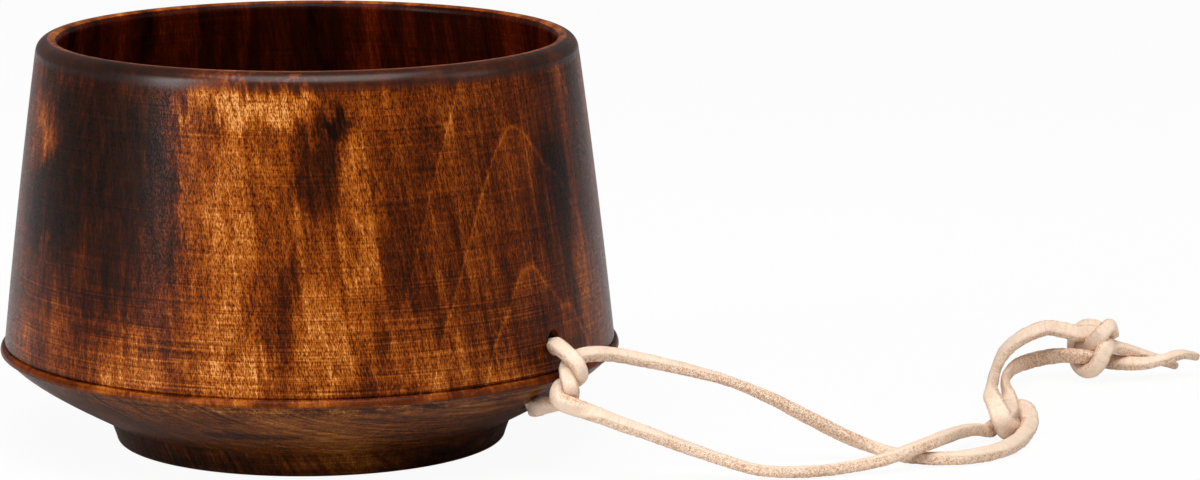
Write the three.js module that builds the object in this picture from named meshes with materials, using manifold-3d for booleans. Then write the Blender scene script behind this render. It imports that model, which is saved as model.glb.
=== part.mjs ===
// A turned wooden mug: a cup that narrows to a rounded rim, a fine bead where its wall meets the rounded
// underside, and a short foot. A leather thong runs through a hole just above the bead. Its two ends are
// hitched round each other beside the hole, and two knots join them again further along.
// Millimetres, +Z up. The origin is the middle of the foot, on the surface that the mug stands on.
import * as THREE from "three";
import { mergeVertices, toCreasedNormals } from "three/addons/utils/BufferGeometryUtils.js";
import Module from "manifold-3d";

// Foot: a flat ring round a shallow recess
const FOOT_RADIUS = 35.3;
const FOOT_HEIGHT = 4.4;
const FOOT_FLARE = 1.3; // how much wider the foot is at its top
const FOOT_EDGE = 0.8; // rounding where its side meets the ring
const FOOT_RING = 6; // from the recess to the side of the foot
const RECESS_DEPTH = 3;
const RECESS_SLOPE = 1.8; // how far the recess draws in as it deepens

// Bead: its upper half is the taller one, and a fine groove sets it off from the wall
const BEAD_RADIUS = 56;
const BEAD_HEIGHT = 17; // of its widest line above the table
const BEAD_STAND = 0.85; // how far it stands out
const BEAD_LOWER = 0.5;
const BEAD_UPPER = 1.1;
const GROOVE_DEPTH = 0.25;
const GROOVE_HEIGHT = 0.4;

// Underside: from the foot it runs out low, then turns up to the bead
const UNDERSIDE_OUT = 15.7; // from the foot to the corner that the curve pulls towards
const UNDERSIDE_UP = 8.1;

// Cup
const RIM_RADIUS = 46.1; // of the rim's highest line
const RIM_HEIGHT = 73.5;
const RIM_OUTER_ROUND = 2.65;
const RIM_INNER_ROUND = 1.45;
const WALL_BULGE = 0.45; // twice as far as the wall's middle lies out from a straight line
const CORNER_ROUND = 18; // between the inside wall and the inside floor
const FLOOR_HEIGHT = 10.5; // of the inside floor above the table

// Thong and its hole, which is drilled from the wall and from the underside to meet in the wood
const THONG_DIAMETER = 2.2;
const THONG_SIDES = 8;
const STEPS_PER_SPAN = 2; // between two points of its route
const HOLE_CLEARANCE = 0.7; // all round the thong
const HOLE_DIRECTION = THREE.MathUtils.degToRad(-35.4);
const HOLE_ABOVE_BEAD = 6.45; // its mouth in the wall
const HOLE_MEET = { inward: 4.4, up: 3.2 }; // where the drillings meet, from the bead's widest line
const HOLE_UNDER = 6.3; // its mouth in the underside, inward from the bead's widest line

const MUG_SEGMENTS = 80;
const HOLE_SEGMENTS = 20;
const CURVE_STEPS = 8; // along the wall and along the underside
const MUG_CREASE = THREE.MathUtils.degToRad(36); // the mug's faces that meet at less than this look smooth
const THONG_CREASE = THREE.MathUtils.degToRad(60);

const wasm = await Module();
wasm.setup();

// The upper strand's route: out of the mouth in the wall, down the hitch, along the table, through the
// second knot, behind the other strand to the end knot and out as the shorter tail
const UPPER_STRAND = [
  // through the hole
  [41.7, -29.6, 18.6], [42.1, -29.9, 20.2], [43.2, -30.7, 21.7], [44.4, -31.7, 22.7],
  // hitch
  [44.9, -33.5, 23.2], [46.9, -35.8, 22.2], [48.5, -36.9, 20.9], [49.2, -36.7, 19.3],
  [49, -34.9, 17.8], [47.5, -33.8, 16.7], [46, -34.2, 16.3], [45.2, -35.8, 15.4], [45.4, -37.1, 14.2],
  [47.2, -37.9, 13.5], [50.4, -38, 12.4],
  // down to the table and along it
  [59.5, -38, 9], [66.5, -37.5, 6.3], [73.5, -37.5, 3.8], [80.5, -37.5, 1.8], [88.5, -36.5, 1.3],
  [96.5, -33.5, 1.5], [102.5, -31.5, 2.3],
  // over the other strand and into the second knot
  [107.5, -29.5, 3.7], [112, -25.5, 4.4], [116.7, -15.6, 3.7], [120.6, -8.3, 2.6], [123.1, -4.6, 1.7],
  [124.8, -3, 2.6], [126.2, -2.8, 3.8], [127.2, -2.4, 4.9], [127.1, -1.3, 6.5],
  // back to the end knot
  [127.1, 7.5, 6.9], [129, 29, 4.6], [132.5, 44.5, 3.5], [136.5, 50, 3.5],
  // end knot
  [140, 48.2, 4.5], [142.5, 45.5, 5.1], [144.4, 44.1, 5.2], [146.4, 44.6, 5.1], [148.3, 47, 5.3],
  [149.6, 49.3, 6.4], [149.3, 50.3, 8.5], [147.6, 50.1, 10], [145.7, 50.3, 9.9], [144.4, 50.4, 8.9],
  [143.7, 50.3, 7], [143.7, 50.4, 4.8], [144.1, 49.2, 3], [145.1, 45.8, 2.2], [146.6, 42.8, 3],
  [147.9, 42.4, 4.7], [148.5, 42.8, 6.2], [149.4, 43.8, 7.2],
  // tail
  [150.6, 46.2, 6.8], [154.4, 48.3, 5.4], [157.7, 49.1, 4.3], [160.6, 50, 3.2], [163, 51.5, 2.2],
];

// The lower strand's route: out of the mouth in the underside, up the hitch, down to the table, round the
// upper strand as the second knot, then the end knot and out as the longer tail
const LOWER_STRAND = [
  // through the hole
  [41.6, -29.6, 18.3], [41.2, -29.4, 15.5], [40.8, -29.2, 13], [40.8, -30, 11.5],
  // hitch
  [42.1, -31.7, 12], [44.5, -33.1, 12.7], [46.5, -34, 13.6], [47.6, -35.6, 14.8], [47.4, -37.1, 16.8],
  [46.8, -35.8, 18.7], [46.9, -34.2, 19.8], [48.3, -32.8, 20.8], [50.8, -31.7, 21.3],
  // down to the table and along it
  [54.5, -29.5, 20.8], [61.5, -28.5, 19.3], [68.5, -27.5, 17.5], [75.5, -26, 15.2], [82.5, -24.5, 12],
  [90, -23, 7.8], [96, -21.5, 4.4], [101.5, -21, 2.1], [106.5, -25, 1.5], [112, -27, 1.5],
  [117, -26, 1.5], [122, -22.4, 1.5], [126.2, -16.7, 1.6],
  // second knot
  [129.8, -4.8, 1.5], [130.7, -1.1, 2.8], [129.8, -0.1, 4.4], [128.6, 0.1, 4.2], [127.8, -0.5, 2.7],
  [127.3, -3.4, 1.4], [125.9, -6.9, 3], [125.1, -7.4, 4.7], [124.4, -5.6, 6.3], [123.7, -1.4, 7.4],
  // back to the end knot
  [124.8, 10.5, 7], [127.3, 28.5, 6.9], [130.2, 39, 8],
  // end knot
  [133.9, 45.1, 9.1], [138, 47, 10.2], [141.3, 46, 10], [143.6, 46.2, 9.3], [145.6, 47.5, 9],
  [148.2, 48, 8.7], [149.9, 47.8, 9.1], [150.6, 46.3, 9.9], [149.8, 44.8, 11], [148.5, 43.6, 10],
  [147.2, 44.3, 8.3], [146.2, 46.7, 6.8], [145.1, 48.4, 5.7], [146.6, 49.1, 4.2], [148.5, 49.7, 3.4],
  [150.8, 48.6, 3.3],
  // tail
  [153.8, 46.5, 3.4], [157.2, 46.4, 3.5], [160.1, 46.1, 4.2], [163.8, 48, 4.8], [166.9, 51.6, 3.8],
];

// Points of an arc of a circle or an ellipse in the profile's plane, from one angle to another in degrees
function arc(centre, reach, from, to, steps) {
  return Array.from({ length: steps + 1 }, (_, i) => {
    const angle = THREE.MathUtils.degToRad(from + ((to - from) * i) / steps);
    return new THREE.Vector2(centre.x + reach.x * Math.cos(angle), centre.y + reach.y * Math.sin(angle));
  });
}

function point(radius, height) {
  return new THREE.Vector2(radius, height);
}

// Where a profile stretch that climbs reaches a radius or a height
function crossing(points, axis, value) {
  const other = axis === "x" ? "y" : "x";
  const next = points.findIndex((p, i) => i > 0 && (points[i - 1][axis] - value) * (p[axis] - value) <= 0);
  const [a, b] = [points[next - 1], points[next]];
  return a[other] + ((b[other] - a[other]) * (value - a[axis])) / (b[axis] - a[axis]);
}

// Underside, from the foot's top to the bead
const footTop = point(FOOT_RADIUS + FOOT_FLARE, FOOT_HEIGHT);
const beadRoot = BEAD_RADIUS - BEAD_STAND;
const underside = new THREE.QuadraticBezierCurve(
  footTop,
  point(footTop.x + UNDERSIDE_OUT, footTop.y + UNDERSIDE_UP),
  point(beadRoot, BEAD_HEIGHT - BEAD_LOWER),
).getPoints(CURVE_STEPS);

// Wall, from the groove above the bead to where the rim's rounding begins. The rounding starts in the
// wall's own direction, so its first angle is the wall's lean.
const grooveHeight = BEAD_HEIGHT + BEAD_UPPER;
const wallFoot = point(beadRoot, grooveHeight + GROOVE_HEIGHT);
const rimCentre = point(RIM_RADIUS, RIM_HEIGHT - RIM_OUTER_ROUND);
const lean = Math.atan2(wallFoot.x - rimCentre.x - RIM_OUTER_ROUND, rimCentre.y - wallFoot.y);
const leanDegrees = THREE.MathUtils.radToDeg(lean);
const outward = point(Math.cos(lean), Math.sin(lean));
const rimStart = rimCentre.clone().addScaledVector(outward, RIM_OUTER_ROUND);
const wallMiddle = wallFoot.clone().lerp(rimStart, 0.5).addScaledVector(outward, WALL_BULGE);
const wall = new THREE.QuadraticBezierCurve(wallFoot, wallMiddle, rimStart).getPoints(CURVE_STEPS);

// Inside: it follows the wall's lean down from the rim, then rounds into the floor
const innerRimCentre = point(RIM_RADIUS, RIM_HEIGHT - RIM_INNER_ROUND);
const innerRimEnd = innerRimCentre.clone().addScaledVector(outward, -RIM_INNER_ROUND);
const cornerTop = FLOOR_HEIGHT + CORNER_ROUND + CORNER_ROUND * Math.sin(lean);
const cornerRadius = innerRimEnd.x + (innerRimEnd.y - cornerTop) * Math.tan(lean);
const cornerCentre = point(cornerRadius - CORNER_ROUND * Math.cos(lean), FLOOR_HEIGHT + CORNER_ROUND);

function mugProfile() {
  const ringInner = FOOT_RADIUS - FOOT_RING;
  return [
    point(0, RECESS_DEPTH),
    point(ringInner - RECESS_SLOPE, RECESS_DEPTH),
    point(ringInner, 0),
    ...arc(point(FOOT_RADIUS - FOOT_EDGE, FOOT_EDGE), point(FOOT_EDGE, FOOT_EDGE), -90, 0, 3),
    ...underside.slice(0, -1),
    ...arc(point(beadRoot, BEAD_HEIGHT), point(BEAD_STAND, BEAD_LOWER), -90, 0, 2),
    ...arc(point(beadRoot, BEAD_HEIGHT), point(BEAD_STAND, BEAD_UPPER), 0, 90, 4).slice(1, -1),
    point(beadRoot - GROOVE_DEPTH, grooveHeight),
    ...wall.slice(0, -1),
    ...arc(rimCentre, point(RIM_OUTER_ROUND, RIM_OUTER_ROUND), leanDegrees, 90, 6),
    ...arc(innerRimCentre, point(RIM_INNER_ROUND, RIM_INNER_ROUND), 90, 180 + leanDegrees, 4).slice(1),
    ...arc(cornerCentre, point(CORNER_ROUND, CORNER_ROUND), leanDegrees, -90, 9),
    point(0, FLOOR_HEIGHT),
  ];
}

// A geometry as a solid that can be cut, without the faces that close up to nothing on the turning axis
function solidFrom(geometry) {
  const bare = geometry.clone();
  bare.deleteAttribute("normal");
  bare.deleteAttribute("uv");
  const merged = mergeVertices(bare, 1e-4);
  const corners = merged.index.array;
  const faces = [];
  for (let i = 0; i < corners.length; i += 3) {
    const [a, b, c] = corners.slice(i, i + 3);
    if (a !== b && b !== c && c !== a) faces.push(a, b, c);
  }
  return new wasm.Manifold(
    new wasm.Mesh({
      numProp: 3,
      vertProperties: merged.attributes.position.array,
      triVerts: new Uint32Array(faces),
    }),
  );
}

function geometryFrom(solid) {
  const mesh = solid.getMesh();
  return new THREE.BufferGeometry()
    .setAttribute("position", new THREE.BufferAttribute(new Float32Array(mesh.vertProperties), 3))
    .setIndex(new THREE.BufferAttribute(new Uint32Array(mesh.triVerts), 1));
}

// A point in the vertical plane through the hole
function inHolePlane(radius, height) {
  return new THREE.Vector3(radius * Math.cos(HOLE_DIRECTION), radius * Math.sin(HOLE_DIRECTION), height);
}

const holeRadius = THONG_DIAMETER / 2 + HOLE_CLEARANCE;

// A drilling from where the two meet, out through a mouth in the surface
function drilling(meet, mouth) {
  const axis = mouth.clone().sub(meet);
  const clear = THONG_DIAMETER * 2; // past the mouth, so that the cut runs out of the wood
  const length = axis.length() + clear;
  const geometry = new THREE.CylinderGeometry(holeRadius, holeRadius, length, HOLE_SEGMENTS);
  geometry.translate(0, length / 2, 0);
  const upright = new THREE.Vector3(0, 1, 0);
  geometry.applyQuaternion(new THREE.Quaternion().setFromUnitVectors(upright, axis.normalize()));
  geometry.translate(meet.x, meet.y, meet.z);
  return solidFrom(geometry);
}

function mugBody() {
  const turned = new THREE.LatheGeometry(mugProfile(), MUG_SEGMENTS);
  turned.rotateX(Math.PI / 2);
  const meet = inHolePlane(BEAD_RADIUS - HOLE_MEET.inward, BEAD_HEIGHT + HOLE_MEET.up);
  const wallMouth = BEAD_HEIGHT + HOLE_ABOVE_BEAD;
  const underMouth = BEAD_RADIUS - HOLE_UNDER;
  const joint = new THREE.SphereGeometry(holeRadius, HOLE_SEGMENTS, HOLE_SEGMENTS / 2);
  joint.translate(meet.x, meet.y, meet.z);
  const solid = solidFrom(turned)
    .subtract(drilling(meet, inHolePlane(crossing(wall, "y", wallMouth), wallMouth)))
    .subtract(drilling(meet, inHolePlane(underMouth, crossing(underside, "x", underMouth))))
    .subtract(solidFrom(joint));
  const finish = new THREE.MeshStandardMaterial({ color: 0x7a4019, roughness: 0.38, metalness: 0 });
  const body = new THREE.Mesh(toCreasedNormals(geometryFrom(solid), MUG_CREASE), finish);
  body.name = "mug_body";
  return body;
}

// The thong's curve. A step of the curve is a share of a span between two points, so that the short spans
// in the knots get short steps.
class ThongRoute extends THREE.CatmullRomCurve3 {
  constructor(points) {
    super(points.map((p) => new THREE.Vector3(...p)), false, "centripetal");
  }

  getUtoTmapping(u) {
    return u;
  }
}

function thongStrand(name, points, leather) {
  const section = new THREE.Shape(
    Array.from({ length: THONG_SIDES }, (_, i) => {
      const angle = ((i + 0.5) / THONG_SIDES) * 2 * Math.PI;
      return new THREE.Vector2(Math.cos(angle), Math.sin(angle)).multiplyScalar(THONG_DIAMETER / 2);
    }),
  );
  const steps = (points.length - 1) * STEPS_PER_SPAN;
  const tube = new THREE.ExtrudeGeometry(section, { steps, extrudePath: new ThongRoute(points) });
  const strand = new THREE.Mesh(toCreasedNormals(tube, THONG_CREASE), leather);
  strand.name = name;
  return strand;
}

const leather = new THREE.MeshStandardMaterial({ color: 0xf0dcc4, roughness: 0.85, metalness: 0 });
const mug = new THREE.Group();
mug.add(
  mugBody(),
  thongStrand("thong_upper_strand", UPPER_STRAND, leather),
  thongStrand("thong_lower_strand", LOWER_STRAND, leather),
);

export default mug;
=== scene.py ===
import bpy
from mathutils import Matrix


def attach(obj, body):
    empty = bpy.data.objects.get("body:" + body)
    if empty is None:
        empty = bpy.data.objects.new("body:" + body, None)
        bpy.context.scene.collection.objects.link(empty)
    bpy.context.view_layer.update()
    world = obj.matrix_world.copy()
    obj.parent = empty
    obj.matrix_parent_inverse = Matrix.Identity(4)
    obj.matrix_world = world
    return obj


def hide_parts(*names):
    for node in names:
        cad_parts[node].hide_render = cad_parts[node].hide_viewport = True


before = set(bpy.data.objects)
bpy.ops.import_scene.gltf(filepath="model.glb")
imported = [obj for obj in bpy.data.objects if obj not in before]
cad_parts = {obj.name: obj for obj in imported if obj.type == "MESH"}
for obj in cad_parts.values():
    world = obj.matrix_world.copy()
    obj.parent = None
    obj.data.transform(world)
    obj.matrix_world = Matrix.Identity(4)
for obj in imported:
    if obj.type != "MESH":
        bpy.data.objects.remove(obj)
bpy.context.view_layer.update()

# The view: a long lens a little above the rim, looking down at the mug's hole side and along its thong.
import math

import bpy
import numpy as np
from mathutils import Vector, noise

CAMERA_PLACE = (0.05257, -0.87593, 0.19519)
CAMERA_DIP = math.radians(9.87)
LENS = 147.5  # millimetres, for a sensor 36 mm wide
LENS_SHIFT = -0.0314

scene = bpy.context.scene
scene.view_settings.view_transform = "Standard"

camera = bpy.data.objects.new("camera", bpy.data.cameras.new("camera"))
scene.collection.objects.link(camera)
scene.camera = camera
camera.location = CAMERA_PLACE
camera.rotation_euler = (math.radians(90) - CAMERA_DIP, 0, 0)
camera.data.sensor_width = 36
camera.data.lens = LENS
camera.data.shift_y = LENS_SHIFT
camera.data.clip_start = 0.05
camera.data.clip_end = 20

# The thong: one lace of undyed leather, cut 3 mm wide from hide a little over 2 mm thick. Its skin side is
# smooth, and its cut sides and flesh side are fuzzy. It goes through the mug's hole, is hitched round itself
# and knotted twice. Each half is modelled from the middle of the hole to its own end.

LACE_WIDTH = 0.0030
LACE_THICKNESS = 0.0022
LACE_SQUARENESS = 2.9  # 2 is an ellipse, and more is nearer a rectangle
LACE_SWELLS = 0.07  # how far it swells and narrows, as a share of its size
LACE_FUZZ = 0.05  # how far the fuzz stands out, as a share of its size
SWELL_PATTERN = 48  # another number gives other swells
RING_STEP = 0.00035
RING_SIDES = 28
FACING_EASE = 10  # rings over which the skin side turns
SIZE_EASE = 8
LACE_PER_UV = 0.02  # length of lace in one unit of its UV map
TABLE_GAP = 0.0001  # between the lace and what it lies on
LEATHER_COLOURS = (  # from the smooth skin to the bottom of the fuzz
    (0.0, (0.90, 0.72, 0.57)), (0.5, (0.82, 0.58, 0.415)), (1.0, (0.58, 0.33, 0.19)))

# Routes in millimetres
UPPER_STRAND = [
    # through the hole
    (41.7, -29.6, 18.6), (42.1, -29.9, 20.2), (43.2, -30.7, 21.7), (44.4, -31.7, 22.7),
    # hitch
    (44.9, -33.5, 23.2), (46.9, -35.8, 22.2), (48.5, -36.9, 20.9), (49.2, -36.7, 19.3), (49, -34.9, 17.8),
    (47.5, -33.8, 16.7), (46, -34.2, 16.3), (45.2, -35.8, 15.4), (45.4, -37.1, 14.2), (47.2, -37.9, 13.5),
    (50.4, -38, 12.4),
    # down to the table and along it
    (59.5, -38, 9), (66.5, -37.5, 6.3), (73.5, -37.5, 3.8), (80.5, -37.5, 1.8), (88.5, -36.5, 1.3),
    (96.5, -33.5, 1.5), (102.5, -31.5, 2.3),
    # over the other strand and into the second knot
    (107.5, -29.5, 3.7), (112, -25.5, 4.4), (116.7, -15.6, 3.7), (120.6, -8.3, 2.6), (123.1, -4.6, 1.7),
    (124.8, -3, 2.6), (126.2, -2.8, 3.8), (127.2, -2.4, 4.9), (127.1, -1.3, 6.5),
    # back to the end knot
    (127.1, 7.5, 6.9), (129, 29, 4.6), (132.5, 44.5, 3.5), (136.5, 50, 3.5),
    # end knot
    (140, 48.2, 4.5), (142.5, 45.5, 5.1), (144.4, 44.1, 5.2), (146.4, 44.6, 5.1), (148.3, 47, 5.3),
    (149.6, 49.3, 6.4), (149.3, 50.3, 8.5), (147.6, 50.1, 10), (145.7, 50.3, 9.9), (144.4, 50.4, 8.9),
    (143.7, 50.3, 7), (143.7, 50.4, 4.8), (144.1, 49.2, 3), (145.1, 45.8, 2.2), (146.6, 42.8, 3),
    (147.9, 42.4, 4.7), (148.5, 42.8, 6.2), (149.4, 43.8, 7.2),
    # tail
    (150.6, 46.2, 6.8), (154.4, 48.3, 5.4), (157.7, 49.1, 4.3), (160.6, 50, 3.2), (163, 51.5, 2.2),
]
LOWER_STRAND = [
    # through the hole
    (41.6, -29.6, 18.3), (41.2, -29.4, 15.5), (40.8, -29.2, 13), (40.8, -30, 11.5),
    # hitch
    (42.1, -31.7, 12), (44.5, -33.1, 12.7), (46.5, -34, 13.6), (47.6, -35.6, 14.8), (47.4, -37.1, 16.8),
    (46.8, -35.8, 18.7), (46.9, -34.2, 19.8), (48.3, -32.8, 20.8), (50.8, -31.7, 21.3),
    # down to the table and along it
    (54.5, -29.5, 20.8), (61.5, -28.5, 19.3), (68.5, -27.5, 17.5), (75.5, -26, 15.2), (82.5, -24.5, 12),
    (90, -23, 7.8), (96, -21.5, 4.4), (101.5, -21, 2.1), (106.5, -25, 1.5), (112, -27, 1.5),
    (117, -26, 1.5), (122, -22.4, 1.5), (126.2, -16.7, 1.6),
    # second knot
    (129.8, -4.8, 1.5), (130.7, -1.1, 2.8), (129.8, -0.1, 4.4), (128.6, 0.1, 4.2), (127.8, -0.5, 2.7),
    (127.3, -3.4, 1.4), (125.9, -6.9, 3), (125.1, -7.4, 4.7), (124.4, -5.6, 6.3), (123.7, -1.4, 7.4),
    # back to the end knot
    (124.8, 10.5, 7), (127.3, 28.5, 6.9), (130.2, 39, 8),
    # end knot
    (133.9, 45.1, 9.1), (138, 47, 10.2), (141.3, 46, 10), (143.6, 46.2, 9.3), (145.6, 47.5, 9),
    (148.2, 48, 8.7), (149.9, 47.8, 9.1), (150.6, 46.3, 9.9), (149.8, 44.8, 11), (148.5, 43.6, 10),
    (147.2, 44.3, 8.3), (146.2, 46.7, 6.8), (145.1, 48.4, 5.7), (146.6, 49.1, 4.2), (148.5, 49.7, 3.4),
    (150.8, 48.6, 3.3),
    # tail
    (153.8, 46.5, 3.4), (157.2, 46.4, 3.5), (160.1, 46.1, 4.2), (163.8, 48, 4.8), (166.9, 51.6, 3.8),
]

# The middles that the lace goes round in the hitch and the knots
HITCH = (47.3, -31, 17)
SECOND_KNOT = (127.5, 9, 2)
END_KNOT = (146.5, 52, 5)

# Which way the skin side looks: from a point of the route on, away from the middle of a knot or along a
# direction
UPPER_FACING = {
    0: (1, -1, 0), 3: ("away", HITCH),
    14: (0.1, -0.55, 0.9), 16: (0.1, -0.1, 1), 19: (0, 0.35, 1), 22: (0, 0.1, 1),
    26: ("away", SECOND_KNOT), 29.5: (0.2, -1, 0.3), 30.5: (-0.6, -0.8, 0.2), 32: (-1, 0.1, 0.1),
    33: (-0.9, 0.5, 0.1), 34: (-0.3, 1, 0.1), 35: (0.1, 1, 0.2), 37: (0, 1, 0.3),
    38: ("away", END_KNOT), 53: (0, -0.3, 1), 57: (0, -0.4, 1),
}
LOWER_FACING = {
    0: (-1, 1, 0.2), 4: ("away", HITCH),
    13: (0, -0.45, 1), 15: (0.1, -0.2, 1), 17: (0, 0.5, 1), 19: (0, 0.6, 1), 21: (0, 0.2, 1),
    25: (0.2, -0.6, 1), 26: ("away", SECOND_KNOT), 33.5: (-0.15, -0.95, 0.25), 36.5: (-0.6, -0.8, 0.2),
    37: (-0.6, -0.8, 0.2), 38.5: (-0.3, -0.7, 0.7), 40: (0, -0.8, 0.6),
    42: ("away", END_KNOT), 54: (0, -0.6, 0.8), 55: (0, -0.6, 0.8), 59: (0, -0.2, 1),
}

# How wide and how thick the lace is at a point of the route, as shares of its usual size
UPPER_SIZE = {
    0: (0.85, 1), 3: (1.08, 1.05), 5: (0.92, 1), 7: (0.8, 0.9), 9: (0.85, 0.9), 11: (1, 1),
    12.5: (1.15, 1), 14: (0.95, 0.95), 18: (0.9, 0.9), 21: (1, 1), 29: (0.9, 1), 30: (0.95, 0.9),
    31: (0.85, 0.7), 32.5: (0.9, 0.7), 33.5: (1, 0.85), 36: (0.95, 0.9), 50: (1, 1),
    51.5: (1.15, 1.05), 53: (0.95, 0.9), 54: (1, 1), 55: (0.85, 0.8), 57: (0.8, 0.7),
}
LOWER_SIZE = {
    0: (1, 1), 3: (1.1, 1.15), 6: (0.95, 0.9), 9: (0.85, 1), 12: (1, 1), 16: (0.85, 0.85), 19: (1, 1),
    26: (1, 1), 27: (1.25, 0.9), 29: (1.3, 0.9), 30: (1.2, 0.9), 31: (1.3, 1), 32: (1.4, 1),
    33: (1.3, 1), 34.3: (1.1, 0.95), 36: (1.05, 0.9), 37.5: (1, 0.85), 40: (1, 0.85),
    43: (1.1, 0.9), 46: (1, 1), 55: (1, 0.95), 57: (0.8, 0.7), 59: (0.8, 0.75),
}


def through(route, per_span=24):
    """Points of the smooth line through a route, and each one's place in the route's own numbering."""
    p = np.array(route) / 1000
    p = np.vstack([2 * p[0] - p[1], p, 2 * p[-1] - p[-2]])
    points, places = [], []
    for i in range(1, len(p) - 2):
        before, rise, after = (p[i + k] - p[i + k - 1] for k in range(3))
        gap = [math.sqrt(np.linalg.norm(leg)) for leg in (before, rise, after)]
        slope_in = before / gap[0] - (before + rise) / (gap[0] + gap[1]) + rise / gap[1]
        slope_out = rise / gap[1] - (rise + after) / (gap[1] + gap[2]) + after / gap[2]
        slope_in, slope_out = slope_in * gap[1], slope_out * gap[1]
        for t in np.arange(per_span) / per_span:
            points.append(p[i] + slope_in * t + (3 * rise - 2 * slope_in - slope_out) * t ** 2
                          + (slope_in + slope_out - 2 * rise) * t ** 3)
            places.append(i - 1 + t)
    return np.array(points + [p[-2]]), np.array(places + [len(route) - 1.0])


def unit(vectors):
    return vectors / np.linalg.norm(vectors, axis=-1, keepdims=True)


def smoothed(values, reach):
    """Each value averaged with its neighbours, with the ends held."""
    kernel = np.hanning(2 * reach + 3)[1:-1]
    kernel = kernel / kernel.sum()
    padded = np.pad(values, ((reach, reach), (0, 0)), mode="edge")
    return np.stack([np.convolve(column, kernel, "valid") for column in padded.T], 1)


def evenly_spaced(route):
    """Points a ring apart along a route, each one's place in its numbering and its length from the start."""
    line, places = through(route)
    along = np.concatenate([[0], np.cumsum(np.linalg.norm(np.diff(line, axis=0), axis=1))])
    at = np.linspace(0, along[-1], int(along[-1] / RING_STEP) + 1)
    centre = np.stack([np.interp(at, along, line[:, k]) for k in range(3)], 1)
    return centre, np.interp(at, along, places), at


def skin_side(centre, place, ahead, facing):
    """The way that the skin side looks at each ring, square to the lace."""
    starts = sorted(facing)
    look = np.zeros(centre.shape)
    for start, end in zip(starts, starts[1:] + [None]):
        here = place >= start
        way = facing[start]
        if way[0] == "away":
            look[here] = unit(centre[here] - np.array(way[1]) / 1000)
        elif end is None or facing[end][0] == "away":
            look[here] = unit(np.array(way, float))
        else:
            share = np.clip((place[here] - start) / (end - start), 0, 1)[:, None]
            next_way = unit(np.array(facing[end], float))
            look[here] = unit(unit(np.array(way, float)) * (1 - share) + next_way * share)
    look -= ahead * (look * ahead).sum(1, keepdims=True)
    look = smoothed(look, FACING_EASE)
    return unit(look - ahead * (look * ahead).sum(1, keepdims=True))


def lace(name, route, facing, size):
    centre, place, at = evenly_spaced(route)
    ahead = unit(np.gradient(centre, axis=0))
    look = skin_side(centre, place, ahead, facing)
    across = np.cross(ahead, look)

    keys = sorted(size)
    width, thickness = (
        smoothed(np.interp(place, keys, [size[key][k] for key in keys])[:, None], SIZE_EASE) * usual
        for k, usual in enumerate((LACE_WIDTH, LACE_THICKNESS)))

    # a rounded rectangle for a section, with the skin side at a quarter of the way round
    angle = np.arange(RING_SIDES) / RING_SIDES * 2 * math.pi
    sideways = np.sign(np.cos(angle)) * np.abs(np.cos(angle)) ** (2 / LACE_SQUARENESS)
    upward = np.sign(np.sin(angle)) * np.abs(np.sin(angle)) ** (2 / LACE_SQUARENESS)
    spread = (across[:, None] * (sideways * width / 2)[:, :, None]
              + look[:, None] * (upward * thickness / 2)[:, :, None])

    # cut by hand and handled: small swells everywhere, and more fuzz on all but the skin side, with so
    # many lumps to the metre
    corners = centre[:, None] + spread
    fuzziness = LACE_FUZZ * (0.35 + 0.9 * (upward < 0.6))
    for r in range(len(centre)):
        for s in range(RING_SIDES):
            p = Vector(corners[r, s])
            swell = noise.noise(p * 260 + Vector((SWELL_PATTERN, 0, 0)))
            fuzz = noise.noise(p * 1500) + 0.7 * noise.noise(p * 3200)
            corners[r, s] = centre[r] + spread[r, s] * (1 + LACE_SWELLS * swell + fuzziness[s] * fuzz)
    corners[:, :, 2] = np.maximum(corners[:, :, 2], TABLE_GAP)  # what lies on the table is flat below

    # both ends close with a rounded cut, in three rings that draw in
    tips = []
    for end, way in ((0, -1), (-1, 1)):
        for depth, share in ((0.15, 0.93), (0.252, 0.75), (0.3, 0.4)):
            shift = ahead[end] * way * depth * LACE_THICKNESS
            tips.append(centre[end] + shift + (corners[end] - centre[end]) * share)
    rings = [*tips[2::-1], *corners, *tips[3:]]
    lengths = np.concatenate([[0] * 3, at, [at[-1]] * 3]) / LACE_PER_UV
    piece = tube(name, rings, lengths)
    return piece, [tuple(p) for p in centre], float(at[-1])


def tube(name, rings, lengths):
    """A closed tube through rings of points, with a UV map that runs along it and round it."""
    n = len(rings[0])
    faces, corner_uv = [], []
    for r, (u0, u1) in enumerate(zip(lengths, lengths[1:])):
        for s in range(n):
            t = (s + 1) % n
            faces.append((r * n + s, r * n + t, (r + 1) * n + t, (r + 1) * n + s))
            corner_uv += [(u0, s / n), (u0, (s + 1) / n), (u1, (s + 1) / n), (u1, s / n)]
    last = (len(rings) - 1) * n
    faces += [tuple(range(n))[::-1], tuple(range(last, last + n))]
    corner_uv += [(0, 0.75)] * n + [(lengths[-1], 0.75)] * n

    mesh = bpy.data.meshes.new(name)
    mesh.from_pydata([tuple(v) for v in np.concatenate(rings)], [], faces)
    mesh.uv_layers.new(name="lace").data.foreach_set("uv", np.array(corner_uv, np.float32).ravel())
    mesh.shade_smooth()
    piece = bpy.data.objects.new(name, mesh)
    scene.collection.objects.link(piece)
    return piece


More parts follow.
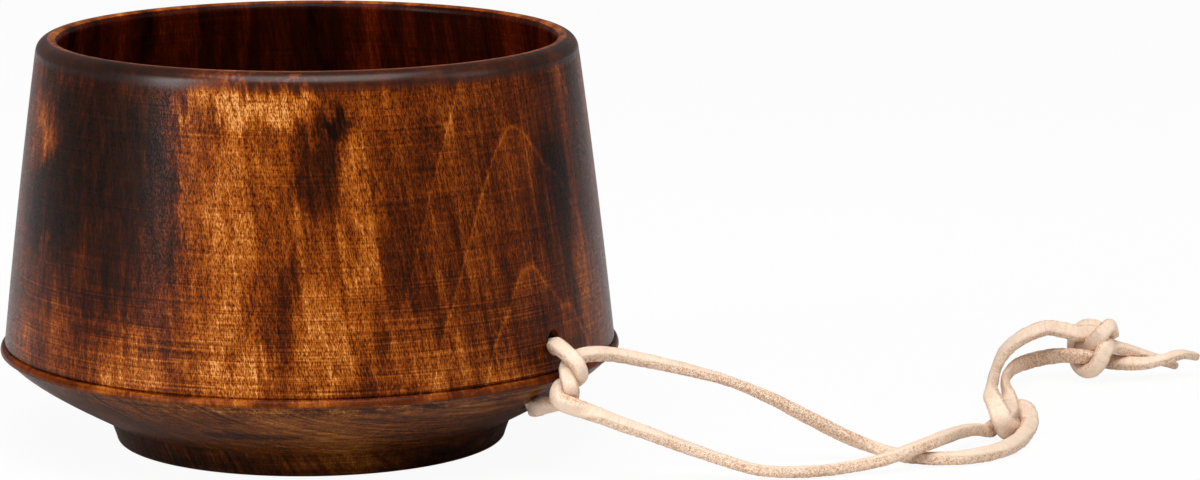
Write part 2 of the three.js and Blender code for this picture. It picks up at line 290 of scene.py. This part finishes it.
class Flow:
    """What comes out of a node of a material. Sums with it add the nodes that work them out."""

    def __init__(self, tree, socket=None):
        self.tree = tree
        self.socket = socket

    def node(self, kind, settings=None, inputs=None, output=0):
        made = self.tree.nodes.new(kind)
        for name, value in (settings or {}).items():
            if name == "stops":
                ramp = made.color_ramp
                while len(ramp.elements) < len(value):
                    ramp.elements.new(0.5)
                for stop, (place, colour) in zip(ramp.elements, value):
                    stop.position = place
                    stop.color = (*colour, 1)
            else:
                setattr(made, name, value)
        for name, value in (inputs or {}).items():
            if isinstance(value, Flow):
                self.tree.links.new(value.socket, made.inputs[name])
            else:
                made.inputs[name].default_value = value
        return Flow(self.tree, made.outputs[output])

    def to(self, socket):
        self.tree.links.new(self.socket, socket)

    def maths(self, operation, second=0.0):
        return self.node("ShaderNodeMath", {"operation": operation}, {0: self, 1: second})

    def __add__(self, other):
        return self.maths("ADD", other)

    def __sub__(self, other):
        return self.maths("SUBTRACT", other)

    def __rsub__(self, other):
        return self.node("ShaderNodeMath", {"operation": "SUBTRACT"}, {0: other, 1: self})

    def __mul__(self, other):
        return self.maths("MULTIPLY", other)

    def __truediv__(self, other):
        return self.maths("DIVIDE", other)

    def __pow__(self, other):
        return self.maths("POWER", other)

    __radd__ = __add__
    __rmul__ = __mul__

    def magnitude(self):
        return self.maths("ABSOLUTE")

    def rise(self, low, high):
        """0 below low and 1 above high, with a soft change between them. Low may be the greater."""
        return self.node("ShaderNodeMapRange", {"interpolation_type": "SMOOTHSTEP"},
                         {"Value": self, "From Min": low, "From Max": high})

    def stretched(self, x, y, z):
        return self.node("ShaderNodeVectorMath", {"operation": "MULTIPLY"}, {0: self, 1: (x, y, z)})

    def noise(self, detail=2.0, roughness=0.5):
        """Cloudy noise from 0 to 1 at this place, whose lumps are about one unit across."""
        return self.node("ShaderNodeTexNoise", None, {"Vector": self, "Scale": 1.0, "Detail": detail,
                                                      "Roughness": roughness})

    def ramp(self, stops):
        return self.node("ShaderNodeValToRGB", {"stops": stops}, {0: self})

    def tinted(self, mask, colour):
        """This colour, multiplied by another one where the mask is 1."""
        return self.node("ShaderNodeMix", {"data_type": "RGBA", "blend_type": "MULTIPLY"},
                         {"Factor": mask, 6: self, 7: (*colour, 1)}, output=2)

    def bump(self, strength, distance):
        return self.node("ShaderNodeBump", None, {"Strength": strength, "Distance": distance, "Height": self})


def new_material(name, roughness):
    material = bpy.data.materials.new(name)
    material.use_nodes = True
    tree = material.node_tree
    shader = tree.nodes["Principled BSDF"]
    shader.inputs["Roughness"].default_value = roughness
    return material, tree, shader


def leather():
    material, tree, shader = new_material("undyed_leather", 0.8)
    start = Flow(tree)
    place = start.node("ShaderNodeTexCoord", output="Object")
    uv = start.node("ShaderNodeUVMap", {"uv_map": "lace"})
    around = uv.node("ShaderNodeSeparateXYZ", None, {0: uv}, output="Y")
    upward = (around * (2 * math.pi)).maths("SINE")
    skin = upward.rise(0.3, 0.95)
    flesh = upward.rise(-0.1, -0.7)

    # noise with so many lumps to the metre, and creases that run across the lace
    clouds, blotches = (place.stretched(n, n, n).noise(detail) for n, detail in ((160, 3), (600, 2)))
    nap, fuzz = (place.stretched(n, n, n).noise(2, 0.6) for n in (1500, 3300))
    creases = uv.stretched(LACE_PER_UV * 2600, 3, 1).noise(3).rise(0.45, 0.3)

    pile = (fuzz * 0.7 + nap * 0.3).rise(0.59, 0.38)
    # the creases also darken the skin side a little: painted shade in them
    depth = ((1 - skin * 0.62) * (pile * 0.85 + blotches * 0.12) + flesh * 0.12 + (clouds - 0.4) * 0.5
             + creases * 0.15 * skin)
    depth.ramp(LEATHER_COLOURS).to(shader.inputs["Base Color"])
    height = (fuzz + nap) * (1 - skin * 0.7) - creases * 0.3
    height.bump(0.8, 0.0003).to(shader.inputs["Normal"])
    return material


undyed_leather = leather()
for name, route, facing, size in (
    ("thong_upper_half", UPPER_STRAND, UPPER_FACING, UPPER_SIZE),
    ("thong_lower_half", LOWER_STRAND, LOWER_FACING, LOWER_SIZE),
):
    strand, centreline, length = lace(name, route, facing, size)
    strand.data.materials.append(undyed_leather)
    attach(strand, "root")
    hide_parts(name.replace("half", "strand"))

# The mug: turned from one block on a lathe, with the grain running up its walls, and lacquered brown. A fine
# bead stands at the foot of the wall, and a short foot carries it. The hole for the thong is two straight
# drillings that meet in the wood. All sizes are in millimetres.

FOOT_RADIUS = 35.3
FOOT_HEIGHT = 4.4
FOOT_FLARE = 1.3  # how much wider the foot is at its top
FOOT_EDGE = 0.8
FOOT_RING = 6
RECESS_DEPTH = 3
RECESS_SLOPE = 1.8
BEAD_RADIUS = 56
BEAD_HEIGHT = 17
BEAD_STAND = 0.85
BEAD_LOWER = 0.5
BEAD_UPPER = 1.1
GROOVE_DEPTH = 0.25
GROOVE_HEIGHT = 0.4
UNDERSIDE_OUT = 15.7  # from the foot to the corner that the curve pulls towards
UNDERSIDE_UP = 8.1
RIM_RADIUS = 46.1
RIM_HEIGHT = 73.5
RIM_OUTER_ROUND = 2.65
RIM_INNER_ROUND = 1.45
WALL_BULGE = 0.45  # twice as far as the wall's middle lies out from a straight line
CORNER_ROUND = 18  # between the inside wall and the inside floor
FLOOR_HEIGHT = 10.5
TURNING_STEPS = 256


def arc(centre, reach, start, end, steps):
    angles = np.radians(np.linspace(start, end, steps + 1))
    return [(centre[0] + reach[0] * math.cos(a), centre[1] + reach[1] * math.sin(a)) for a in angles]


def bow(start, pull, end, steps):
    """A curve from start to end that is drawn towards pull."""
    start, pull, end = (np.array(point) for point in (start, pull, end))
    t = np.linspace(0, 1, steps + 1)[:, None]
    return [tuple(p) for p in (1 - t) ** 2 * start + 2 * t * (1 - t) * pull + t ** 2 * end]


foot_top = (FOOT_RADIUS + FOOT_FLARE, FOOT_HEIGHT)
ring_inner = FOOT_RADIUS - FOOT_RING
recess_radius = ring_inner - RECESS_SLOPE
bead_root = BEAD_RADIUS - BEAD_STAND
wall_foot = (bead_root, BEAD_HEIGHT + BEAD_UPPER + GROOVE_HEIGHT)
rim_centre = (RIM_RADIUS, RIM_HEIGHT - RIM_OUTER_ROUND)
lean = math.atan2(wall_foot[0] - rim_centre[0] - RIM_OUTER_ROUND, rim_centre[1] - wall_foot[1])
outward = np.array((math.cos(lean), math.sin(lean)))
rim_start = tuple(np.array(rim_centre) + outward * RIM_OUTER_ROUND)
wall_middle = (np.array(wall_foot) + rim_start) / 2 + outward * WALL_BULGE
inner_rim_centre = (RIM_RADIUS, RIM_HEIGHT - RIM_INNER_ROUND)
inner_rim_end = np.array(inner_rim_centre) - outward * RIM_INNER_ROUND
corner_top = FLOOR_HEIGHT + CORNER_ROUND * (1 + math.sin(lean))
inner_foot = np.array((inner_rim_end[0] + (inner_rim_end[1] - corner_top) * math.tan(lean), corner_top))
corner_centre = (inner_foot[0] - CORNER_ROUND * math.cos(lean), FLOOR_HEIGHT + CORNER_ROUND)

profile = [
    # the foot, from the middle of its recess
    (0, RECESS_DEPTH), (recess_radius / 2, RECESS_DEPTH), (recess_radius, RECESS_DEPTH), (ring_inner, 0),
    *arc((FOOT_RADIUS - FOOT_EDGE, FOOT_EDGE), (FOOT_EDGE, FOOT_EDGE), -90, 0, 6),
    # the underside, the bead and its groove
    *bow(foot_top, (foot_top[0] + UNDERSIDE_OUT, foot_top[1] + UNDERSIDE_UP),
         (bead_root, BEAD_HEIGHT - BEAD_LOWER), 24),
    *arc((bead_root, BEAD_HEIGHT), (BEAD_STAND, BEAD_LOWER), -90, 0, 5)[1:],
    *arc((bead_root, BEAD_HEIGHT), (BEAD_STAND, BEAD_UPPER), 0, 90, 8)[1:-1],
    (bead_root - GROOVE_DEPTH, BEAD_HEIGHT + BEAD_UPPER),
    # the wall and the rim
    *bow(wall_foot, wall_middle, rim_start, 24),
    *arc(rim_centre, (RIM_OUTER_ROUND,) * 2, math.degrees(lean), 90, 16)[1:],
    *arc(inner_rim_centre, (RIM_INNER_ROUND,) * 2, 90, 180 + math.degrees(lean), 14)[1:],
    # the inside
    *bow(inner_rim_end, (inner_rim_end + inner_foot) / 2, inner_foot, 12)[1:-1],
    *arc(corner_centre, (CORNER_ROUND,) * 2, math.degrees(lean), -90, 16),
    (corner_centre[0] * 0.5, FLOOR_HEIGHT), (0, FLOOR_HEIGHT),
]

bpy.ops.object.select_all(action="DESELECT")
bpy.ops.mesh.primitive_plane_add(size=0.01, location=(0, 0, 0))
mug = bpy.context.object
mug.name = "turned_mug"
bpy.ops.object.mode_set(mode="EDIT")
bpy.ops.mesh.select_all(action="SELECT")
bpy.ops.mesh.merge(type="CENTER")
bpy.ops.transform.translate(value=(0, 0, RECESS_DEPTH / 1000))
for before, after in zip(profile, profile[1:]):
    step = ((after[0] - before[0]) / 1000, 0, (after[1] - before[1]) / 1000)
    bpy.ops.mesh.extrude_region_move(TRANSFORM_OT_translate={"value": step})
bpy.ops.mesh.select_all(action="SELECT")
bpy.ops.mesh.spin(steps=TURNING_STEPS, angle=2 * math.pi, center=(0, 0, 0), axis=(0, 0, 1))
bpy.ops.mesh.select_all(action="SELECT")
bpy.ops.mesh.remove_doubles(threshold=1e-6)
bpy.ops.mesh.normals_make_consistent(inside=False)
bpy.ops.object.mode_set(mode="OBJECT")

# The thong's hole, drilled from its mouth in the wall and from its mouth in the underside.
HOLE_RADIUS = 1.8
HOLE_DIRECTION = math.radians(-35.4)
HOLE_MEET = (BEAD_RADIUS - 4.4, BEAD_HEIGHT + 3.2)  # out from the mug's axis and up, as are its mouths
WALL_MOUTH = (BEAD_RADIUS - 1.25, BEAD_HEIGHT + 6.45)
UNDER_MOUTH = (BEAD_RADIUS - 6.3, BEAD_HEIGHT - 5)
DRILLED_PAST = 1
BIT_STANDS_OUT = 4


def in_hole_plane(place):
    radius, height = place
    return Vector((radius * math.cos(HOLE_DIRECTION), radius * math.sin(HOLE_DIRECTION), height))


def drill(inner_end, mouth):
    """Cuts a straight hole from the mug's surface to a little past where the two drillings meet."""
    start, end = in_hole_plane(inner_end), in_hole_plane(mouth)
    way = (end - start).normalized()
    start = (start - way * DRILLED_PAST) / 1000
    end = (end + way * BIT_STANDS_OUT) / 1000
    bpy.ops.object.select_all(action="DESELECT")
    bpy.ops.mesh.primitive_cylinder_add(
        vertices=32, radius=HOLE_RADIUS / 1000, depth=(end - start).length,
        location=(start + end) / 2, rotation=way.to_track_quat("Z", "Y").to_euler())
    bit = bpy.context.object
    cut = mug.modifiers.new("hole", "BOOLEAN")
    cut.operation = "DIFFERENCE"
    cut.object = bit
    bpy.ops.object.select_all(action="DESELECT")
    bpy.context.view_layer.objects.active = mug
    mug.select_set(True)
    bpy.ops.object.modifier_apply(modifier="hole")
    bpy.data.objects.remove(bit)


drill(HOLE_MEET, WALL_MOUTH)
drill(HOLE_MEET, UNDER_MOUTH)
bpy.ops.object.shade_smooth_by_angle(angle=math.radians(32))

# Light and dark patches of the wall's wood, each with its middle (degrees round from the front, and
# millimetres up), its reach both ways, and how much it lightens or darkens.
WALL_PATCHES = (
    # left side, with one golden spot
    (-80, 40, 9, 60, -0.08), (-68, 60, 6, 8, 0.14), (-63, 60, 4, 4, 0.10), (-68, 46, 6, 8, -0.08),
    (-61, 56, 3.5, 3, 0.24), (-57, 59, 3, 3, 0.12), (-60, 22, 14, 8, 0.02), (-62, 67, 10, 6, -0.20),
    (-61, 47, 7, 10, -0.26),
    # the darkest wood, left of the middle
    (-44, 55, 15, 25, -0.30), (-29, 62, 7, 14, -0.14), (-52, 60, 8, 9, -0.12), (-54, 46, 9, 9, -0.12),
    (-28, 44, 6, 15, -0.14), (-36, 31, 9, 8, -0.08), (-37, 22, 6, 3, -0.06), (-54, 34, 8, 5, -0.08),
    # golden wood in the middle
    (-22, 21, 9, 5, 0.10), (-32, 22, 9, 6, 0.26), (-40, 19, 7, 4, 0.08), (-20, 55, 4, 16, 0.18),
    (-12, 50, 5, 20, 0.33), (-16, 42, 3, 12, 0.06), (-12, 25, 8, 10, 0.26), (-7, 21, 5, 5, 0.16),
    (-15, 69, 8, 5, 0.42), (-2, 68, 7, 4.5, 0.34), (5, 26, 8, 12, 0.30), (2, 69.5, 6, 3, 0.14),
    (13, 50, 4, 16, 0.26), (9, 42, 3, 8, 0.08), (14, 32, 5, 10, 0.12), (-3, 50, 6, 18, 0.16),
    (-19, 34, 5, 8, 0.12), (3, 40, 3, 6, 0.08),
    # dark clouds, thin streaks and a knot in it
    (-16, 65.5, 4, 2.6, -0.14), (-8, 52, 1.6, 6, -0.12), (0.5, 56, 2.2, 8, -0.10),
    (4.5, 54.5, 3.6, 6.5, -0.20), (2.5, 61, 1.2, 4, -0.06), (-4, 62, 2, 3, -0.10),
    (7.5, 60, 1.8, 5, -0.10), (8.6, 64.8, 3.4, 2.6, -0.36), (-1.5, 33, 2, 9, -0.17),
    (-5, 24, 1.4, 7, -0.12), (-3, 48, 1.4, 6, -0.10),
    # right side
    (26, 67.5, 12, 5, 0.10), (18, 38, 3, 10, -0.12), (24, 50, 4, 14, -0.05), (24, 38, 4, 6, -0.06),
    (21, 25, 7, 6, 0.08), (30, 22, 9, 5, 0.20), (43, 20, 6, 3, 0.12), (36, 40, 2, 9, 0.05),
    (46, 25, 9, 5, -0.08), (40, 30, 3, 8, -0.05), (58, 57, 5, 6, -0.12), (63, 50, 4, 6, -0.12),
    (67, 33, 4, 9, 0.12), (72, 26, 7, 9, 0.08), (52, 48, 5, 6, -0.08), (53, 27, 5, 5, -0.08),
    (76, 60, 6, 20, -0.16), (60, 46, 6, 16, -0.14), (67, 55, 6, 14, -0.14), (60, 69, 8, 4, -0.10),
)
WOOD_COLOURS = (  # from black lacquer to pale gold
    (0.0, (0.006, 0.002, 0.001)), (0.22, (0.032, 0.006, 0.001)), (0.42, (0.11, 0.018, 0.0015)),
    (0.62, (0.26, 0.055, 0.004)), (0.82, (0.46, 0.135, 0.014)), (1.0, (0.72, 0.32, 0.10)))
INSIDE_TINT = (0.85, 0.5, 0.45)
UNDERSIDE_TINT = (0.9, 1.3, 2.2)
WALL_TONE = 0.43  # a place among the colours, like the tones below
DARKEST_WALL = 0.07
UNDER_TONE = 0.35
INNER_TONE = 0.25
UNDER_MARK = (-10.8, 9.46, 12, 1.1)  # a dark lens on the underside: its middle and reach, as above
GRAIN_LEAN = 0.14  # how far the grain runs to the left for each unit down
PITH = (-44.6, 40.1)  # the middle of the tree's growth rings, from the mug's axis
RING_GAP = 3.2
RING_START = 109.95  # from the pith to the ring that peaks highest on the wall
RING_WAVE = 1.1  # how far a ring strays
RING_PEAK = 48  # degrees round from the front
LEFT_LIMB = 0.146  # how far the rings draw in for each degree left of the peak
LEFT_LIMB_END = 25  # degrees from the peak
RIGHT_LIMB = 0.09
RIGHT_LIMB_END = 8
RIGHT_RETURN = 0.022  # how far they come back for each degree past it


def combined(tree, x, y, z=0.0):
    return Flow(tree).node("ShaderNodeCombineXYZ", None, {"X": x, "Y": y, "Z": z})


class MugPlace:
    """A point of the mug: its place in millimetres, and from 0 to 1 how far it is on each surface."""

    def __init__(self, tree):
        self.tree = tree
        self.place = Flow(tree).node("ShaderNodeTexCoord", output="Object").stretched(1000, 1000, 1000)
        x, y, z = (self.place.node("ShaderNodeSeparateXYZ", None, {0: self.place}, output=axis)
                   for axis in "XYZ")
        radius = (x * x + y * y) ** 0.5
        self.x, self.y, self.z, self.radius = x, y, z, radius
        self.turn = x.maths("ARCTAN2", 0 - y) * (180 / math.pi)  # degrees round from the front
        self.from_pith = ((x - PITH[0]) ** 2 + (y - PITH[1]) ** 2) ** 0.5

        wall_radius = wall_foot[0] - (z - wall_foot[1]) * math.tan(lean)
        self.outside = (radius - wall_radius).rise(-2.5, -2.2)
        # half way through the wood under the cup
        mid_wood = ((radius - foot_top[0]) * 0.65 + FOOT_HEIGHT + 3).maths("MAXIMUM", 7)
        in_cup = (z - mid_wood).rise(-0.5, 0.5)
        self.below = z.rise(BEAD_HEIGHT + 0.4, BEAD_HEIGHT - 0.4) * (1 - in_cup)
        self.bead = (radius - bead_root).rise(0.35, 0.6)
        self.groove = (z - wall_foot[1] + 0.1).magnitude().rise(0.55, 0.15)
        self.rim = z.rise(rim_centre[1] - 1.25, rim_centre[1] + 0.55) * self.outside
        self.crest = z.rise(RIM_HEIGHT - 0.45, RIM_HEIGHT - 0.3) * (radius - RIM_RADIUS).rise(0.7, 0.3)
        self.foot = z.rise(FOOT_HEIGHT + 0.2, FOOT_HEIGHT - 0.2)
        # painted shade: the inside of the thong's hole, darkened to black
        underside = (radius - 49.1) * 0.8 + 11.5
        self.painted_bore_shade = ((wall_radius - radius).rise(0.4, 1.2) * (z - underside).rise(0.4, 1.2)
                     * radius.rise(48.5, 49.2))

        # the grain leans a little in the block that the mug was turned from
        self.leaning = combined(tree, x + z * GRAIN_LEAN, y, z)

    def lumps(self, width, length, detail=2.0, roughness=0.5, leaning=True):
        """Cloudy noise whose lumps are so wide and run so far along the grain."""
        place = self.leaning if leaning else self.place
        return place.stretched(1 / width, 1 / width, 1 / length).noise(detail, roughness)

    def turned(self, to_radian, height, detail, roughness):
        """Noise in lines round the mug, as the lathe leaves them, with so many lumps to the radian."""
        return combined(self.tree, self.x / self.radius * to_radian, self.y / self.radius * to_radian,
                        self.z / height).noise(detail, roughness)


def growth_rings(at):
    """How far a point is from one growth ring to the next, the thin line where each ring ends, and how many
    degrees round it is from where the lines on the wall's right side peak."""
    swell = at.lumps(9, 45, leaning=False)
    off_peak = at.turn - RING_PEAK
    near_peak = off_peak.magnitude()
    left_side = off_peak.rise(2, -2)
    from_peak = (off_peak * off_peak + 5) ** 0.5 - 2.2  # with the peak rounded off
    past_end = (from_peak - RIGHT_LIMB_END).maths("MAXIMUM", 0)
    left_limb = from_peak.maths("MINIMUM", LEFT_LIMB_END) * LEFT_LIMB
    right_limb = from_peak.maths("MINIMUM", RIGHT_LIMB_END) * RIGHT_LIMB - past_end * RIGHT_RETURN
    right_limb = right_limb * (at.z.rise(34, 44) * 0.7 + 0.3)  # less of it on the low ring
    cusp = (left_limb * left_side + right_limb * (1 - left_side)) * near_peak.rise(120, 60)
    rings = (at.from_pith - cusp * at.outside + (swell - 0.5) * RING_WAVE - RING_START) / RING_GAP
    ring = rings.maths("FRACT")
    line = (ring - 0.5).magnitude().rise(0.45, 0.5)
    return ring, line, near_peak


def away_from(spot, middle, height, reach, rise):
    """How far a spot is from a patch's middle, where 1 is as far as the patch reaches."""
    away = spot.node("ShaderNodeVectorMath", {"operation": "MULTIPLY_ADD"}, {
        0: spot, 1: (1 / reach, 1 / rise, 0), 2: (-middle / reach, -height / rise, 0)})
    return away.node("ShaderNodeVectorMath", {"operation": "LENGTH"}, {0: away}, output="Value")


def tone_of_wall(at):
    """Soft patches whose edges run out along the grain, and broad streaks."""
    frayed = at.lumps(1.1, 18, 3, 0.6)
    ragged = at.lumps(5, 16, 3)
    spot = combined(at.tree, at.turn + (frayed - 0.5) * 9 + (ragged - 0.5) * 7,
                    at.z + (ragged - 0.5) * 12 + (frayed - 0.5) * 14)
    patches = 0.0
    for *patch, amount in WALL_PATCHES:
        patches = away_from(spot, *patch).rise(1.35, 0.45) * amount + patches
    clouds = at.lumps(14, 30, leaning=False)
    back = at.turn.magnitude().rise(76, 100)
    streaks = at.lumps(4.5, 90)
    tone = patches * (1 - back) + (clouds - 0.5) * (back * 1.3 + 0.1) + WALL_TONE
    return (tone + (streaks - 0.5) * 0.36).maths("MAXIMUM", DARKEST_WALL)


def bands_of_pith(at):
    """Curved bands round the pith, where the growth rings are cut across."""
    return combined(at.tree, at.from_pith / 0.55, at.x / 20, at.y / 20).noise(2)


def tone_of_underside(at):
    swept = at.lumps(14, 6, 3, leaning=False)
    front = (at.turn - 5).magnitude().rise(45, 5)
    mark = away_from(combined(at.tree, at.turn, at.z), *UNDER_MARK).rise(1.2, 0.5)
    return ((swept - 0.5) * 0.55 + (bands_of_pith(at) - 0.5) * 0.6 + front * 0.20
            - at.foot * 0.14 - mark * 0.22 + UNDER_TONE)


def tone_of_inside(at, threads):
    on_floor = at.z.rise(28, 14)
    return ((at.lumps(6, 70, 3, leaning=False) - 0.5) + (threads - 0.5) * 0.10
            + (bands_of_pith(at) - 0.5) * on_floor * 0.4 + INNER_TONE)


def lacquered_wood():
    """Thin brown lacquer, rubbed back so that the grain of the wood shows light and dark through it."""
    material, tree, shader = new_material("lacquered_wood", 0.4)
    at = MugPlace(tree)

    # the noise behind the streaks, the short flecks and the lathe's fine lines
    threads = at.lumps(0.6, 90, 1)
    broad = at.lumps(1.8, 60)
    fine = at.lumps(0.4, 14, 3, 0.6)
    mottle = at.lumps(1.6, 4, 3, 0.6)
    flecks = at.lumps(0.17, 0.75, 2, 0.55)
    lines = at.turned(1.8, 0.38, 3, 0.7)
    bands = at.turned(3, 1.4, 2, 0.5)
    dark_fleck = flecks.rise(0.54, 0.36)
    light_fleck = flecks.rise(0.52, 0.68)

    # how light each surface is before its grain
    wall_tone = tone_of_wall(at)
    tone = wall_tone * at.outside + tone_of_inside(at, threads) * (1 - at.outside)
    tone = tone * (1 - at.below) + tone_of_underside(at) * at.below

    ring, ring_line, near_peak = growth_rings(at)
    ring_strength = near_peak.rise(45, 18) * 0.7 + 0.3
    line_strength = at.z.rise(40, 28) * 0.45 + (bands - 0.45) * 1.8 + 0.26
    grain = ((broad - 0.5) * 0.42 + (fine - 0.5) * 0.40 + (mottle - 0.5) * 0.34
             + (lines - 0.5) * line_strength + threads.rise(0.58, 0.66) * 0.07
             + ring_line * near_peak.rise(36, 8) * 0.16 + (0.5 - ring) * ring_strength * 0.10)
    strength = 1 - at.rim * 0.6 - at.bead * 0.6 - (1 - at.outside) * 0.4
    tone = tone + (grain * (tone * 0.5 + 0.75) - dark_fleck * (tone * 0.34 + 0.09)
                   + light_fleck * (tone * 0.08 + 0.05)) * strength

    # painted shade in the groove, more lacquer on the rim, and less lacquer on the rim's crest
    tone = tone - at.bead * 0.02 - at.groove * 0.10 - at.rim * (wall_tone * 0.34 + 0.04)
    # the rim's crest is lighter: partly worn lacquer, partly a painted highlight along the lip
    tone = tone + at.crest * (broad * 0.3 + 0.22)
    # painted shade: the wood inside the thong's hole goes black
    tone = tone * (1 - at.painted_bore_shade)

    inside = (1 - at.outside) * (1 - at.crest) * (1 - at.below)
    colour = tone.ramp(WOOD_COLOURS).tinted(inside, INSIDE_TINT).tinted(at.below, UNDERSIDE_TINT)
    colour.to(shader.inputs["Base Color"])
    ((fine - 0.5) * 0.12 + dark_fleck * 0.06 + 0.25).to(shader.inputs["Roughness"])
    shader.inputs["Specular IOR Level"].default_value = 0.08
    (at.rim * 0.5).to(shader.inputs["Coat Weight"])
    shader.inputs["Coat Roughness"].default_value = 0.3
    height = lines * 0.5 - dark_fleck * 0.6 + fine * 0.4
    height.bump(0.35, 0.00006).to(shader.inputs["Normal"])
    return material


mug.data.materials.append(lacquered_wood())
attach(mug, "root")
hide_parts("mug_body")

# The table: a plain white top that the mug stands on and its thong lies on. It looks almost as white as the
# studio round it, and keeps a faint shadow.
TABLE_SIZE = 8
TABLE_WHITE = 0.8
TABLE_GLOW = 0.94  # the share of pure white that the camera sees on it

bpy.ops.object.select_all(action="DESELECT")
bpy.ops.mesh.primitive_plane_add(size=TABLE_SIZE, location=(0, 0, 0))
table = bpy.context.object
table.name = "table"
material, tree, shader = new_material("white_table", 0.9)
shader.inputs["Base Color"].default_value = (TABLE_WHITE, TABLE_WHITE, TABLE_WHITE, 1)
start = Flow(tree)
seen = start.node("ShaderNodeLightPath", output="Is Camera Ray")
glow = start.node("ShaderNodeEmission", None, {"Strength": 1.0})
surface = start.node("ShaderNodeMixShader", None, {
    0: seen * TABLE_GLOW, 1: Flow(tree, shader.outputs[0]), 2: glow})
surface.to(tree.nodes["Material Output"].inputs["Surface"])
table.data.materials.append(material)

# The studio: pale walls that light the mug a little and look pure white, and three soft boxes.
STUDIO_LIGHT = 0.16

world = bpy.data.worlds.new("studio")
scene.world = world
world.use_nodes = True
tree = world.node_tree
seen = Flow(tree).node("ShaderNodeLightPath", output="Is Camera Ray")
background = tree.nodes["Background"]
background.inputs["Color"].default_value = (1, 1, 1, 1)
(seen * (1 - STUDIO_LIGHT) + STUDIO_LIGHT).to(background.inputs["Strength"])


def softbox(name, place, target, width, height, power):
    lamp = bpy.data.lights.new(name, "AREA")
    lamp.shape = "RECTANGLE"
    lamp.size = width
    lamp.size_y = height
    lamp.energy = power
    made = bpy.data.objects.new(name, lamp)
    scene.collection.objects.link(made)
    made.location = place
    made.rotation_euler = (Vector(target) - Vector(place)).to_track_quat("-Z", "Y").to_euler()


softbox("overhead", (0.1, -0.5, 1.15), (0.03, 0, 0), 1.2, 1.0, 17)
softbox("left", (-1.0, -0.7, 0.45), (0, 0, 0.04), 0.3, 0.8, 8)
softbox("right", (1.3, -0.3, 0.7), (0.06, 0, 0.02), 0.5, 0.8, 2)
